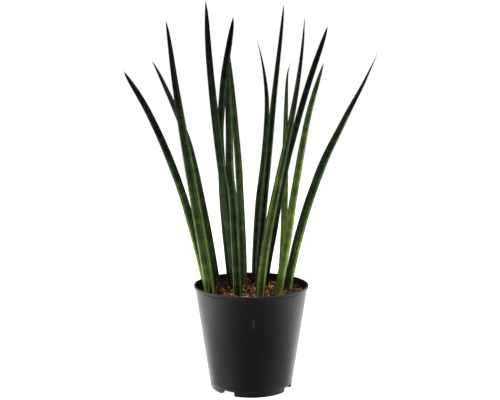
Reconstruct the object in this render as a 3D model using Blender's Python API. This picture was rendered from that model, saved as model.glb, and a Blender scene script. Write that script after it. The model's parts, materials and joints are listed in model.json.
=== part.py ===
"""Cylindrical snake plant in a black nursery pot.

Metres, +Z up. The origin is on the pot's axis, on the surface that the pot stands on, and -Y is the front.
Every size below is written in millimetres and turned to metres where a mesh is made.
"""

import math
import random
from collections import namedtuple

import bmesh
import bpy
import numpy as np

MM = 0.001
FIT_GAP = 0.3

# Pot: a thin tapered shell with an overhanging lip, a raised floor and a notched foot ring
POT_HEIGHT = 108.0
RIM_RADIUS = 60.0
LIP_DEPTH = 3.8
LIP_OVERHANG = 1.4
LIP_ROUND = 0.7
FOOT_RADIUS = 42.9
FOOT_EDGE_ROUND = 0.6
FOOT_RING_WIDTH = 4.2
WALL = 1.25
FLOOR_UNDERSIDE = 5.0
FLOOR_THICKNESS = 1.6
NOTCH_HEIGHT = 4.6
NOTCH_WIDTH = 15.8
NOTCH_AZIMUTHS = (-34.0, 62.0, 146.0, 242.0)
DRAIN_HOLE_RADIUS = 3.6
DRAIN_HOLE_RING = 31.0
POT_SIDES = 64

# Potting mix: a plug that fills the pot to below the rim, with a crumbly top of husk chips
SOIL_LEVEL = 97.0
SOIL_RINGS = 11
SOIL_SIDES = 48
CRUMB_HEIGHT = 1.3
CRUMB_WAVELENGTH = 11.0
CHIP_COUNT = 76
CHIP_LENGTHS = (6.0, 11.0)
CHIP_WIDTHS = (3.0, 4.6)
CHIP_THICKNESS = 1.9
CHIP_LIFTS = (-0.6, 0.3)
CHIP_FIELD_RADIUS = 48.0
SEED = 12

# Leaves: grooved cylinders that taper to a point
LEAF_SIDES = 16
LEAF_STATIONS = 14
STATION_CROWDING = 1.5
RIBS = 8
RIB_DEPTH = 0.05
CHANNEL_DEPTH = 0.26
CHANNEL_HALF_ANGLE = math.radians(24)
BURIED_DEPTH = 24.0
BURIED_TAPER = 0.78
HOLE_SIDES = 12

# foot: place on the soil (x, y). tip: place of the point (x, y, z). low, high: how far the lower and the upper
# half lean away from the straight line between them (x, y). girth: thickness at the soil, halfway up and at the
# top. point: how long the taper of the point is. channel: compass side of the groove, 0 facing the front and
# 90 facing right. colour: sRGB.
Leaf = namedtuple("Leaf", "name foot tip low high girth point channel colour")
LEAVES = (
    Leaf("leaf_left_outer", (-44.5, 14), (-135, 25, 330), (10, 0), (22, 0), (8.4, 7.4, 6.0), 12, 110, "#1E2518"),
    Leaf("leaf_left_back", (-37.5, 28), (-112.5, 78, 347), (10, -5), (24, -3), (8.2, 7.8, 3.0), 11, 140, "#222B1C"),
    Leaf("leaf_left_front", (-42, -10), (-82.5, -35, 372), (1, 3), (-3, 2), (10.2, 8.8, 1.8), 9, 62, "#2C3B20"),
    Leaf("leaf_tall_left", (-16.5, 12), (-44.5, -30, 392), (1, 8), (-7, 6), (8.6, 7.8, 4.6), 16, 35, "#28341F"),
    Leaf("leaf_crossing", (-20, 28), (-18, 0, 382), (-11, 0), (-22, 0), (8.4, 7.6, 4.6), 12, 120, "#1C2318"),
    Leaf("leaf_front_left", (-13.5, -20), (-24, 40, 352), (1, -12), (-7, -10), (8.5, 7.4, 7.0), 28, 5, "#243318"),
    Leaf("leaf_middle_back", (-8.5, 26), (-24, 66, 353), (4, -4), (2, -3), (8.0, 7.0, 5.4), 34, -20, "#26331C"),
    Leaf("leaf_back", (5, 44), (7, 78, 368), (-5, -4), (27, -3), (7.8, 7.0, 2.6), 40, 60, "#202A1A"),
    Leaf("leaf_tall_right", (6.5, 33), (33, 0, 394), (-2, 3), (-1, 2), (7.6, 6.4, 1.8), 10, -60, "#1A2419"),
    Leaf("leaf_front_right", (8.5, -22), (48, -80, 367), (-8, 6), (11, 4), (9.6, 6.5, 1.8), 14, 22, "#3E4D28"),
    Leaf("leaf_right_dark", (13.5, 20), (82.5, 44, 380), (-11, -2), (-11, 0), (8.2, 7.0, 4.4), 13, -90, "#182014"),
    Leaf("leaf_right_back", (30.5, 18), (43.5, 80, 342), (8, -6), (-8, -5), (7.6, 5.2, 3.2), 19, -50, "#2C3D1F"),
    Leaf("leaf_right_short", (28.5, -14), (70.5, -34, 332), (-2, 3), (-11, 0), (8.4, 6.4, 3.6), 12, -75, "#38491F"),
    Leaf("leaf_right_outer", (38.5, 8), (135, 38, 348), (-24, -4), (-12, -4), (8.2, 7.8, 4.0), 42, -80, "#1F2D1A"),
)


def wall_radius(z):
    """Outer radius of the pot's tapered wall at height z."""
    under_lip = POT_HEIGHT - LIP_DEPTH
    slope = (RIM_RADIUS - LIP_OVERHANG - FOOT_RADIUS) / under_lip
    return FOOT_RADIUS + slope * z


def srgb(hex_colour):
    """Linear colour of an sRGB hex value."""
    channels = [int(hex_colour[i:i + 2], 16) / 255 for i in (1, 3, 5)]
    linear = [c / 12.92 if c <= 0.04045 else ((c + 0.055) / 1.055) ** 2.4 for c in channels]
    return (*linear, 1.0)


def material(name, colour, roughness):
    """A Principled material of one colour, not metallic."""
    made = bpy.data.materials.new(name)
    made.use_nodes = True
    shader = made.node_tree.nodes["Principled BSDF"]
    shader.inputs["Base Color"].default_value = srgb(colour)
    shader.inputs["Roughness"].default_value = roughness
    shader.inputs["Metallic"].default_value = 0.0
    made.diffuse_color = srgb(colour)
    return made


def add_object(name, points, faces):
    """An object from points in millimetres and faces of point numbers, with its faces turned outwards."""
    mesh = bpy.data.meshes.new(name)
    mesh.from_pydata([tuple(MM * c for c in p) for p in points], [], faces)
    shape = bmesh.new()
    shape.from_mesh(mesh)
    bmesh.ops.recalc_face_normals(shape, faces=shape.faces)
    shape.to_mesh(mesh)
    shape.free()
    obj = bpy.data.objects.new(name, mesh)
    bpy.context.scene.collection.objects.link(obj)
    return obj


def loft(rings, low_end=None, high_end=None):
    """Points and faces of a skin over rings of equal length, closed by a flat end or by an end point."""
    sides = len(rings[0])
    points = [tuple(p) for ring in rings for p in ring]
    faces = []
    for r in range(len(rings) - 1):
        for i in range(sides):
            j = (i + 1) % sides
            faces.append((r * sides + i, r * sides + j, (r + 1) * sides + j, (r + 1) * sides + i))
    last = (len(rings) - 1) * sides
    if low_end is None:
        faces.append(tuple(reversed(range(sides))))
    else:
        points.append(tuple(low_end))
        faces += [((i + 1) % sides, i, len(points) - 1) for i in range(sides)]
    if high_end is None:
        faces.append(tuple(range(last, last + sides)))
    else:
        points.append(tuple(high_end))
        faces += [(last + i, last + (i + 1) % sides, len(points) - 1) for i in range(sides)]
    return points, faces


def turned(profile, sides):
    """Rings of a profile of (radius, height) pairs turned round the Z axis."""
    angles = np.arange(sides) * 2 * math.pi / sides
    return [np.column_stack([r * np.cos(angles), r * np.sin(angles), np.full(sides, z)]) for r, z in profile]


def boolean(target, tools, operation):
    """Cuts the tools from the target, or joins them to it, in one exact Boolean, and removes them."""
    group = bpy.data.collections.new(target.name + "_tools")
    bpy.context.scene.collection.children.link(group)
    for tool in tools:
        bpy.context.scene.collection.objects.unlink(tool)
        group.objects.link(tool)
    cut = target.modifiers.new(operation.lower(), "BOOLEAN")
    cut.operation = operation
    cut.operand_type = "COLLECTION"
    cut.collection = group
    cut.solver = "EXACT"
    bpy.context.view_layer.update()
    evaluated = target.evaluated_get(bpy.context.evaluated_depsgraph_get())
    joined = bpy.data.meshes.new_from_object(evaluated)
    target.modifiers.clear()
    target.data = joined
    for tool in tools:
        bpy.data.objects.remove(tool)
    bpy.data.collections.remove(group)


def finish(obj, surface, smooth_angle):
    """Gives a finished piece its material and smooth shading up to an edge angle in degrees."""
    obj.data.materials.clear()
    obj.data.materials.append(surface)
    obj.data.shade_smooth()
    obj.data.set_sharp_from_angle(angle=math.radians(smooth_angle))


def turned_to(obj, azimuth):
    """Turns a tool's mesh round the Z axis, with azimuth 0 at the front and 90 at the right."""
    turn = math.radians(azimuth)
    for vertex in obj.data.vertices:
        x, y = vertex.co.x, vertex.co.y
        vertex.co.x = x * math.cos(turn) - y * math.sin(turn)
        vertex.co.y = x * math.sin(turn) + y * math.cos(turn)


def make_pot():
    """The pot: one turned shell, with notches cut through its foot ring and drain holes through its floor."""
    under_lip = POT_HEIGHT - LIP_DEPTH
    floor_top = FLOOR_UNDERSIDE + FLOOR_THICKNESS
    foot_inner = FOOT_RADIUS - FOOT_RING_WIDTH
    rim_inner = wall_radius(POT_HEIGHT) - WALL
    outline = [
        (wall_radius(floor_top) - WALL, floor_top),
        (wall_radius(under_lip) - WALL, under_lip),
        (rim_inner, POT_HEIGHT - LIP_ROUND),
        (rim_inner + LIP_ROUND, POT_HEIGHT),
        (RIM_RADIUS - LIP_ROUND, POT_HEIGHT),
        (RIM_RADIUS, POT_HEIGHT - LIP_ROUND),
        (RIM_RADIUS, under_lip + LIP_ROUND),
        (wall_radius(under_lip), under_lip),
        (wall_radius(POT_HEIGHT / 2), POT_HEIGHT / 2),
        (wall_radius(FOOT_EDGE_ROUND), FOOT_EDGE_ROUND),
        (FOOT_RADIUS - FOOT_EDGE_ROUND, 0.0),
        (foot_inner, 0.0),
        (foot_inner, FLOOR_UNDERSIDE),
    ]
    rings = turned(outline, POT_SIDES)
    pot = add_object("pot", *loft(rings, (0, 0, floor_top), (0, 0, FLOOR_UNDERSIDE)))

    tools = []
    for azimuth in NOTCH_AZIMUTHS:
        low, high = -1.0, NOTCH_HEIGHT
        near, far = FOOT_RADIUS + 4.0, foot_inner - 3.0
        half = NOTCH_WIDTH / 2
        block = [[(-half, -near, z), (half, -near, z), (half, -far, z), (-half, -far, z)] for z in (low, high)]
        tools.append(add_object("notch", *loft(block)))
        turned_to(tools[-1], azimuth)
        drill = turned([(DRAIN_HOLE_RADIUS, FLOOR_UNDERSIDE - 1), (DRAIN_HOLE_RADIUS, floor_top + 1)], HOLE_SIDES)
        drill = [ring - (0, DRAIN_HOLE_RING, 0) for ring in drill]
        tools.append(add_object("drain", *loft(drill)))
        turned_to(tools[-1], azimuth)
    boolean(pot, tools, "DIFFERENCE")
    finish(pot, material("black_polypropylene", "#1F1F20", 0.42), 35)
    return pot


def leaf_axis(leaf, t):
    """Points on a leaf's centreline: the straight line from foot to tip plus its two leans.

    t is 0 at the soil and 1 at the tip. Below the soil t is negative and counts millimetres straight down.
    """
    t = np.asarray(t, float)
    up = np.clip(t, 0, 1)[:, None]
    foot = np.array([*leaf.foot, SOIL_LEVEL])
    tip = np.array(leaf.tip, float)
    low = np.array([*leaf.low, 0.0])
    high = np.array([*leaf.high, 0.0])
    axis = foot + (tip - foot) * up + low * 3 * up * (1 - up) ** 2 + high * 3 * up ** 2 * (1 - up)
    axis[:, 2] += np.minimum(t, 0)
    return axis


def leaf_radius(leaf, t):
    """Radius of a leaf: a parabola through its three girths, closed off exponentially at the point."""
    t = np.asarray(t, float)
    up = np.clip(t, 0, 1)
    foot, middle, top = leaf.girth
    girth = foot * (1 - up) * (1 - 2 * up) + 4 * middle * up * (1 - up) + top * up * (2 * up - 1)
    from_tip = (1 - up) * (leaf.tip[2] - SOIL_LEVEL)
    buried = 1 + (1 - BURIED_TAPER) * np.minimum(t, 0) / BURIED_DEPTH
    return girth / 2 * (1 - np.exp(-from_tip / leaf.point)) * buried


def leaf_rings(leaf, t, radii, angles, section):
    """Rings square to a leaf's centreline, whose angle 0 is on the side that the channel faces."""
    axis = leaf_axis(leaf, t)
    step = 1e-3
    up = np.maximum(t, 0)
    tangent = leaf_axis(leaf, up + step) - leaf_axis(leaf, np.maximum(up - step, 0))
    tangent[t < 0] = (0, 0, 1)
    tangent /= np.linalg.norm(tangent, axis=1)[:, None]
    side = math.radians(leaf.channel)
    facing = np.array([math.sin(side), -math.cos(side), 0.0])
    front = facing - tangent * (tangent @ facing)[:, None]
    front /= np.linalg.norm(front, axis=1)[:, None]
    across = np.cross(tangent, front)
    swing = front[:, None] * np.cos(angles)[None, :, None] + across[:, None] * np.sin(angles)[None, :, None]
    return axis[:, None] + swing * (radii[:, None] * section)[:, :, None]


def make_leaf(leaf):
    """A leaf: a pointed grooved cylinder with a deeper channel down one side, and a blunt foot in the soil."""
    above = 1 - (1 - np.arange(LEAF_STATIONS) / LEAF_STATIONS) ** STATION_CROWDING
    t = np.concatenate([[-BURIED_DEPTH, -BURIED_DEPTH / 6], above])
    angles = np.arange(LEAF_SIDES) * 2 * math.pi / LEAF_SIDES
    grooves = 1 - RIB_DEPTH * (1 + np.cos(RIBS * angles)) / 2
    off_channel = np.minimum(angles, 2 * math.pi - angles) / CHANNEL_HALF_ANGLE
    channel = CHANNEL_DEPTH * np.exp(-off_channel ** 2)
    fade = np.where(t < 0, 0.3, 1 - np.clip(t, 0, 1))
    section = grooves - channel * fade[:, None]
    rings = leaf_rings(leaf, t, leaf_radius(leaf, t), angles, section)
    points, faces = loft(list(rings), high_end=leaf.tip)
    obj = add_object(leaf.name, points, faces)
    finish(obj, material(leaf.name + "_skin", leaf.colour, 0.38), 50)
    return obj


def leaf_hole(leaf):
    """A tool that follows a leaf's foot and clears it by the fit gap all round and below."""
    t = np.array([-BURIED_DEPTH - FIT_GAP, 0.0, 0.02, 0.05])
    angles = np.arange(HOLE_SIDES) * 2 * math.pi / HOLE_SIDES
    clear = (leaf_radius(leaf, np.maximum(t, 0)) + FIT_GAP) / math.cos(math.pi / HOLE_SIDES)
    rings = leaf_rings(leaf, t, clear, angles, np.ones((len(t), HOLE_SIDES)))
    return add_object("hole", *loft(list(rings)))


def crumb_height(x, y):
    """Height of the crumbly soil at a place: three crossed waves of unlike direction and length."""
    k = 2 * math.pi / CRUMB_WAVELENGTH
    waves = np.sin(k * (x + 0.35 * y)) * np.cos(k * (0.8 * y - 0.3 * x))
    waves += 0.7 * np.sin(1.7 * k * (y - 0.4 * x) + 1.0)
    waves += 0.5 * np.cos(2.3 * k * (x + 0.9 * y) + 2.0)
    return CRUMB_HEIGHT * waves / 2.2


def make_chip(draw, place):
    """A husk chip: a six-sided sliver with ragged ends, tilted and half sunk at its place."""
    length, width = draw.uniform(*CHIP_LENGTHS), draw.uniform(*CHIP_WIDTHS)
    turn, tilt = draw.uniform(0, 2 * math.pi), math.radians(draw.uniform(-28, 28))
    rings = []
    for end, shrink in ((-0.5, draw.uniform(0.4, 0.9)), (0.05, 1.0), (0.5, draw.uniform(0.3, 0.8))):
        half, thick = width * shrink / 2, CHIP_THICKNESS * (0.5 + 0.5 * shrink) / 2
        along = length * end
        rings.append([(along, -half, -thick), (along, half, -thick), (along, half, thick), (along, -half, thick)])
    rings = np.array(rings)
    x, y, z = rings[..., 0], rings[..., 1], rings[..., 2]
    x, z = x * math.cos(tilt) - z * math.sin(tilt), x * math.sin(tilt) + z * math.cos(tilt)
    x, y = x * math.cos(turn) - y * math.sin(turn), x * math.sin(turn) + y * math.cos(turn)
    rings = np.stack([x, y, z], axis=-1) + place
    return add_object("chip", *loft([list(ring) for ring in rings]))


def make_soil():
    """The potting mix: a plug inside the pot with a crumbly top, husk chips in it and a hole for each leaf."""
    floor_top = FLOOR_UNDERSIDE + FLOOR_THICKNESS
    bottom = floor_top + FIT_GAP
    inside = WALL + FIT_GAP
    edge = wall_radius(SOIL_LEVEL) - inside
    side_rings = turned([(wall_radius(bottom) - inside, bottom)], SOIL_SIDES)
    top_rings = turned([(edge * (1 - k / SOIL_RINGS), SOIL_LEVEL) for k in range(SOIL_RINGS)], SOIL_SIDES)
    for ring in top_rings[1:]:
        ring[:, 2] += crumb_height(ring[:, 0], ring[:, 1])
    centre = (0.0, 0.0, SOIL_LEVEL + float(crumb_height(0.0, 0.0)))
    soil = add_object("soil", *loft(side_rings + top_rings, (0, 0, bottom), centre))

    draw = random.Random(SEED)
    chips = []
    golden_angle = math.pi * (3 - math.sqrt(5))
    for k in range(CHIP_COUNT):
        reach = CHIP_FIELD_RADIUS * math.sqrt((k + 0.5) / CHIP_COUNT)
        x, y = reach * math.cos(k * golden_angle), reach * math.sin(k * golden_angle)
        spare = min(math.dist((x, y), leaf.foot) - leaf.girth[0] / 2 for leaf in LEAVES)
        lift = draw.uniform(*CHIP_LIFTS)
        chip = make_chip(draw, (x, y, SOIL_LEVEL + float(crumb_height(x, y)) + lift))
        if spare > CHIP_WIDTHS[0]:
            chips.append(chip)
        else:
            bpy.data.objects.remove(chip)
    boolean(soil, chips, "UNION")
    boolean(soil, [leaf_hole(leaf) for leaf in LEAVES], "DIFFERENCE")
    finish(soil, material("coir_potting_mix", "#6B4022", 0.95), 30)
    return soil


def main():
    """Clears the scene and builds the pot, the potting mix and the leaves."""
    for obj in list(bpy.data.objects):
        bpy.data.objects.remove(obj)
    make_pot()
    make_soil()
    for leaf in LEAVES:
        make_leaf(leaf)


main()
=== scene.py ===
"""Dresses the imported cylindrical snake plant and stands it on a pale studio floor.

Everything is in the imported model's frame: +Z up, the pot's axis at the origin, the front at -Y. Shapes are
worked out in millimetres and turned to metres where a mesh is made.
"""

import json
import math
from collections import namedtuple
from functools import partial

import bpy
import numpy as np
from bpy.props import FloatProperty, FloatVectorProperty, IntProperty, PointerProperty
from mathutils import Matrix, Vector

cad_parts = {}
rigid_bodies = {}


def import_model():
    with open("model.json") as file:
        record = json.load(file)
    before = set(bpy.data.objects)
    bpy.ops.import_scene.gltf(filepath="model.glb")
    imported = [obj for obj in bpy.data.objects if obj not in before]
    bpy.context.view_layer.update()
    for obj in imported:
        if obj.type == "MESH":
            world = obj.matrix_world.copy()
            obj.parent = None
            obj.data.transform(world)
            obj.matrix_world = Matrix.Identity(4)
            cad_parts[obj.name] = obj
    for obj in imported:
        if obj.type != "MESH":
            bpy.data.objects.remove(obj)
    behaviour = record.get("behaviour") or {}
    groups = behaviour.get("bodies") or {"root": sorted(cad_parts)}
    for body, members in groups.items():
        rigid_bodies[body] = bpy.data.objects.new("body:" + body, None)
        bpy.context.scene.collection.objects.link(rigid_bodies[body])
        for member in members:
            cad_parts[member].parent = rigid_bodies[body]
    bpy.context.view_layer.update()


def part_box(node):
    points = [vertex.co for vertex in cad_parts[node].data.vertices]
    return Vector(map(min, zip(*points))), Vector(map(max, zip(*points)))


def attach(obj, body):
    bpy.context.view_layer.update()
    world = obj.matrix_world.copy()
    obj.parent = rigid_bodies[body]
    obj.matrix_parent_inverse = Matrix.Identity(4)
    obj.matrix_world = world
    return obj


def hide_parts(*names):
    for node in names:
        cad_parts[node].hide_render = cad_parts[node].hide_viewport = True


bl_info = {
    "name": "Cylindrical Snake Plant",
    "version": (1, 0, 0),
    "blender": (4, 5, 0),
    "location": "3D View > Sidebar > Snake Plant",
    "description": "Builds a potted cylindrical snake plant with its soil and studio",
    "category": "Add Mesh",
}

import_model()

MM = 0.001
FULL_TURN = 2 * math.pi
GROUND_SEED, LEAF_SEED, SOIL_SEED = 5, 7, 12

# Pot, in mm and degrees of azimuth
FOOT_RADIUS = 42.9
FOOT_INNER_RADIUS = 38.7
LIP_OVERHANG = 1.4
FLOOR_UNDERSIDE = 5.0
FLOOR_TOP = 6.6
NOTCH_AZIMUTHS = (-34.0, 62.0, 146.0, 242.0)
NOTCH_HEIGHT = 4.6
NOTCH_HALF_ANGLE = math.degrees(math.asin(7.9 / FOOT_RADIUS))
NOTCH_CORNER = 1.0
DRAIN_HOLE_RADIUS = 3.6
DRAIN_HOLE_RING = 31
RIM_LEAN = 0.85

# Soil and leaves, in mm
SOIL_LEVEL = 97.0
WALL_GAP = 0.4
CHANNEL_HALF_ANGLE = math.radians(24)
SKIN_FULLNESS = 1.05
SKIN_LIFT = 0.12
SWAY_SPREAD = 0.09
PATTERN_RADIUS = 4
NICKED_LEAF_RADIUS = 2.8
NICK_PALENESS = 0.22

# Numbers of a colour Mix node's inputs
FACTOR, UNDER, OVER = 0, 6, 7

# foot: place on the soil (x, y). tip: place of the point (x, y, z). low, high: how far the lower and the
# upper half lean away from the straight line between them (x, y). girth: thickness at the soil, halfway up
# and at the top. point: how long the taper of the point is. channel: compass side of the main groove, 0
# facing the front and 90 facing right. ribs: number of fine grooves. age: how dark the skin is at the soil,
# halfway up and at the tip. olive: how yellow the green is at the soil and at the tip, below zero for a
# bluer one. lit: lengthwise stripes of painted light on the sides that face the lights, each with
# its compass side, its half width in degrees, its strength, below zero for a stripe of painted shade on a
# side turned from them, and the share of the way up where it has faded out.
# sway: slight waves to the side, each with its share of the way up and its reach.
Leaf = namedtuple("Leaf", "name foot tip low high girth point channel ribs age olive lit sway")
LEAVES = (
    Leaf("leaf_left_outer", (-44.9, 14), (-135, 25, 330), (10, 0), (22, 0), (9.2, 7.9, 5.6), 10, 110, 9,
         (0.54, 0.66, 1.03), (0.1, 0.2),
         ((-45, 18, 0.5, 0.82), (-48, 14, 0.22, 0.4), (42, 14, 0.16, 0.3), (60, 22, -0.14, 1.0)),
         ((0.96, -0.6), (0.88, 0.4), (0.44, 0.3), (0.06, -0.5))),
    Leaf("leaf_left_back", (-36.8, 28), (-112.5, 78, 347), (10, -5), (24, -3), (8.2, 7.8, 3.2), 11, 140, 10,
         (0.54, 0.65, 0.82), (0.1, 0.1), ((20, 10, 0.06, 1.2), (-42, 14, 0.28, 1.1)),
         ((0.96, 0.4), (0.88, -0.6), (0.63, 1.2), (0.35, -0.4))),
    Leaf("leaf_left_front", (-42.1, -10), (-82.5, -35, 372), (1, 3), (-3, 2), (10.8, 9.0, 2.7), 8, 62, 11,
         (0.42, 0.66, 1.0), (0.35, 0.2), ((-56, 18, 0.4, 0.8), (-48, 22, 0.22, 0.3), (60, 11, 0.6, 0.92)),
         ((0.92, 0.5), (0.44, 0.15), (0.12, 0.3))),
    Leaf("leaf_tall_left", (-16.5, 12), (-44.5, -30, 392), (1, 8), (-7, 6), (8.6, 7.8, 4.8), 15, 35, 12,
         (0.46, 0.69, 1.16), (-0.45, 0.1), ((-30, 7, 0.1, 1.2), (52, 12, 0.32, 1.0), (0, 10, 0.12, 0.25)),
         ((0.97, 0.4), (0.38, 0.5))),
    Leaf("leaf_crossing", (-20.8, 28), (-18, 0, 382), (-11, 0), (-22, 0), (8.4, 7.6, 5.4), 11, 120, 9,
         (0.78, 0.64, 1.04), (-0.25, -0.15),
         ((42, 14, 0.18, 1.3), (-35, 12, 0.06, 1.2), (-62, 16, 0.4, 0.35)),
         ((0.9, 1.1), (0.68, 0.6), (0.6, -1.1), (0.46, 0.5))),
    Leaf("leaf_front_left", (-13.6, -20), (-24, 40, 352), (1, -12), (-7, -10), (8.5, 7.9, 6.3), 28, 5, 10,
         (0.7, 0.68, 0.82), (-0.3, 0.15), ((-35, 20, -0.12, 0.9), (-66, 15, 0.76, 0.88), (50, 14, 0.42, 1.2)),
         ((0.69, 0.55), (0.5, -1.2), (0.37, 0.5))),
    Leaf("leaf_middle_back", (-8.3, 26), (-23.9, 66, 353), (4, -4), (2, -3), (8.0, 7.4, 5.2), 34, -20, 12,
         (0.42, 0.54, 0.79), (-0.5, 0.5), ((-50, 16, 0.18, 1.2), (35, 14, 0.12, 1.0)),
         ((0.28, -0.1), (0.52, 0.35))),
    Leaf("leaf_back", (5, 44), (7, 78, 368), (-5, -4), (27, -3), (7.8, 7.0, 3.3), 38, 60, 9,
         (0.55, 0.57, 0.99), (-0.2, -0.3), ((44, 14, 0.2, 1.0), (-24, 16, -0.1, 1.0)),
         ((0.76, 0.5), (0.355, -0.95), (0.14, 0.35))),
    Leaf("leaf_tall_right", (6.5, 33), (33, 0, 394), (-2, 3), (-1, 2), (7.6, 6.6, 2.2), 9, -60, 10,
         (0.66, 0.74, 0.99), (-0.2, 0.7),
         ((-54, 15, 0.46, 1.0), (4, 20, -0.2, 0.85), (50, 16, 0.1, 0.3), (50, 15, 0.4, 1.3)),
         ((0.9, 0.3), (0.68, -0.25))),
    Leaf("leaf_front_right", (8.5, -22), (48, -80, 367), (-8, 6), (11, 4), (9.6, 6.6, 1.5), 13, 22, 11,
         (0.5, 0.64, 1.0), (0.45, 0.6),
         ((-42, 15, 0.32, 1.4), (42, 13, 0.32, 1.0), (44, 16, 0.16, 0.4), (-34, 22, 0.14, 0.25)),
         ((0.1, 0.45),)),
    Leaf("leaf_right_dark", (13.5, 20), (82.5, 44, 380), (-11, -2), (-11, 0), (8.2, 7.1, 5.4), 13, -90, 9,
         (0.84, 0.74, 1.06), (0.0, 0.6), ((-45, 14, 0.24, 0.9),),
         ((0.93, 0.6), (0.22, 1.0), (0.48, -0.45))),
    Leaf("leaf_right_back", (30.7, 18), (43.5, 80, 342), (8, -6), (-8, -5), (7.6, 6.1, 2.6), 14, -50, 10,
         (0.42, 0.37, 0.84), (0.35, 0.6),
         ((-20, 14, 0.12, 1.0), (42, 12, 0.1, 1.0), (-52, 20, 0.22, 0.6)),
         ((0.95, -0.9), (0.83, 0.3), (0.7, 0.55), (0.46, 0.25), (0.34, -0.6), (0.2, -0.5))),
    Leaf("leaf_right_short", (27.9, -14), (70.5, -34, 332), (-2, 3), (-11, 0), (8.7, 6.9, 4.0), 11, -75, 10,
         (0.34, 0.42, 0.66), (0.55, 0.95),
         ((-45, 14, 0.08, 1.2), (40, 14, 0.32, 1.2), (36, 22, 0.22, 0.3), (0, 40, 0.08, 0.35)),
         ((0.8, -0.5), (0.66, 0.15), (0.52, 0.55), (0.3, 0.6), (0.02, -0.6))),
    Leaf("leaf_right_outer", (38.5, 8), (135, 38, 348), (-24, -4), (-12, -4), (8.5, 8.6, 3.6), 38, -80, 9,
         (0.58, 0.67, 0.97), (0.2, 0.4), ((48, 15, 0.38, 1.2), (34, 30, 0.38, 0.45), (-46, 20, -0.24, 1.2)),
         ((0.87, 1.1), (0.56, -1.25), (0.42, -0.3), (0.26, 0.5), (0.14, 0.5))),
)
LEAF_BY_NAME = {leaf.name: leaf for leaf in LEAVES}

# Small pointed scales that hug a leaf's foot: the leaf, the compass side, the height above the soil and the
# half width
Scale = namedtuple("Scale", "name leaf side height half_width")
SCALES = (
    Scale("scale_left_front", "leaf_left_front", 14, 19.5, 3.4),
    Scale("scale_front_right", "leaf_front_right", -4, 15.0, 2.0),
)

# Fine dry threads that some points end in: the leaf, then the bend and the end, (x, y, z) from the leaf's tip
Awn = namedtuple("Awn", "name leaf bend end")
AWNS = (
    Awn("awn_back", "leaf_back", (-0.2, 0.1, 0.8), (-0.6, -0.2, 1.8)),
    Awn("awn_right_back", "leaf_right_back", (0.3, -0.5, 0.9), (3.2, -1.2, 3.0)),
    Awn("awn_right_outer", "leaf_right_outer", (-0.5, 0.1, 1.1), (-0.9, 0.3, 2.7)),
)

# Healed nicks in the skin: leaf, compass side, share of the way up, half width and half height in millimetres
Nick = namedtuple("Nick", "leaf side share half_width half_height")
NICKS = (
    Nick("leaf_right_outer", 20, 0.734, 0.7, 1.7),
    Nick("leaf_right_outer", 52, 0.715, 0.6, 2.4),
)


def linear(hex_colour):
    """Linear RGBA of an sRGB hex value."""
    channels = np.array([int(hex_colour[i:i + 2], 16) / 255 for i in (1, 3, 5)])
    curve = np.where(channels <= 0.04045, channels / 12.92, ((channels + 0.055) / 1.055) ** 2.4)
    return (*curve.tolist(), 1.0)


def colour_property(name, description, hex_colour):
    """A colour setting whose default is an sRGB hex value."""
    return FloatVectorProperty(name=name, description=description, subtype="COLOR", size=4, min=0, max=1,
                               default=linear(hex_colour))


class PotSettings(bpy.types.PropertyGroup):
    """Sizes and finish of the nursery pot."""

    height: FloatProperty(
        name="Height", description="From the foot to the top of the lip", unit="LENGTH",
        default=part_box("pot")[1].z)
    rim_radius: FloatProperty(
        name="Rim radius", description="From the axis to the outside of the lip", unit="LENGTH",
        default=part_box("pot")[1].x)
    lip_depth: FloatProperty(
        name="Lip depth", description="Height of the overhanging lip", unit="LENGTH", default=3.8 * MM)
    wall: FloatProperty(
        name="Wall", description="Thickness of the moulded wall", unit="LENGTH", default=1.25 * MM)
    colour: colour_property("Colour", "Colour of the polypropylene", "#0C0C0D")


class SoilSettings(bpy.types.PropertyGroup):
    """Amounts and colours of the coir mix."""

    chips: IntProperty(name="Chips", description="Number of coir husk chips", default=560, min=0)
    crumbs: IntProperty(name="Crumbs", description="Number of small crumbs", default=1700, min=0)
    fibres: IntProperty(name="Fibres", description="Number of curly fibres", default=620, min=0)
    dark: colour_property("Dark", "Colour of the shaded, damp mix", "#1E0F07")
    bright: colour_property("Bright", "Colour of fresh husk", "#A8672F")


class LeafSettings(bpy.types.PropertyGroup):
    """Relief and colours of the leaves."""

    groove_depth: FloatProperty(
        name="Groove depth", description="Depth of the fine grooves as a share of the radius",
        subtype="FACTOR", default=0.05, min=0, max=0.3)
    channel_depth: FloatProperty(
        name="Channel depth", description="Depth of the main groove at the soil as a share of the radius",
        subtype="FACTOR", default=0.24, min=0, max=0.5)
    young: colour_property("Young green", "Colour of the youngest skin", "#92A45C")
    old: colour_property("Old green", "Colour of the oldest skin, near the points", "#030504")
    margin: colour_property("Margin", "Colour of the pale margins beside the channel", "#8FA35E")


class StageSettings(bpy.types.PropertyGroup):
    """Camera, floor and lights."""

    lens: FloatProperty(
        name="Lens", description="Focal length of the camera", unit="CAMERA", default=50.1, min=10)
    pitch: FloatProperty(
        name="Pitch", description="How far the camera looks down", subtype="ANGLE", default=0.0838)
    floor_radius: FloatProperty(
        name="Floor radius", description="Radius of the pale floor", unit="LENGTH", default=4.0, min=0.5)
    side_light: FloatProperty(
        name="Side light", description="Radiance of the room at the sides and behind", default=1.70, min=0)
    front_light: FloatProperty(
        name="Front light", description="Radiance of the room on the camera's side", default=0.27, min=0)
    top_light: FloatProperty(
        name="Top light", description="Power of the softbox overhead", unit="POWER", default=20.0, min=0)


def fill(tree, node, inputs):
    """Fills a node's inputs, by name or in order, with values or links. A node stands for its live output."""
    for name, value in inputs.items() if isinstance(inputs, dict) else enumerate(inputs):
        if isinstance(value, bpy.types.Node):
            value = next(output for output in value.outputs if output.enabled)
        if isinstance(value, bpy.types.NodeSocket):
            tree.links.new(value, node.inputs[name])
        else:
            node.inputs[name].default_value = value


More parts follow.
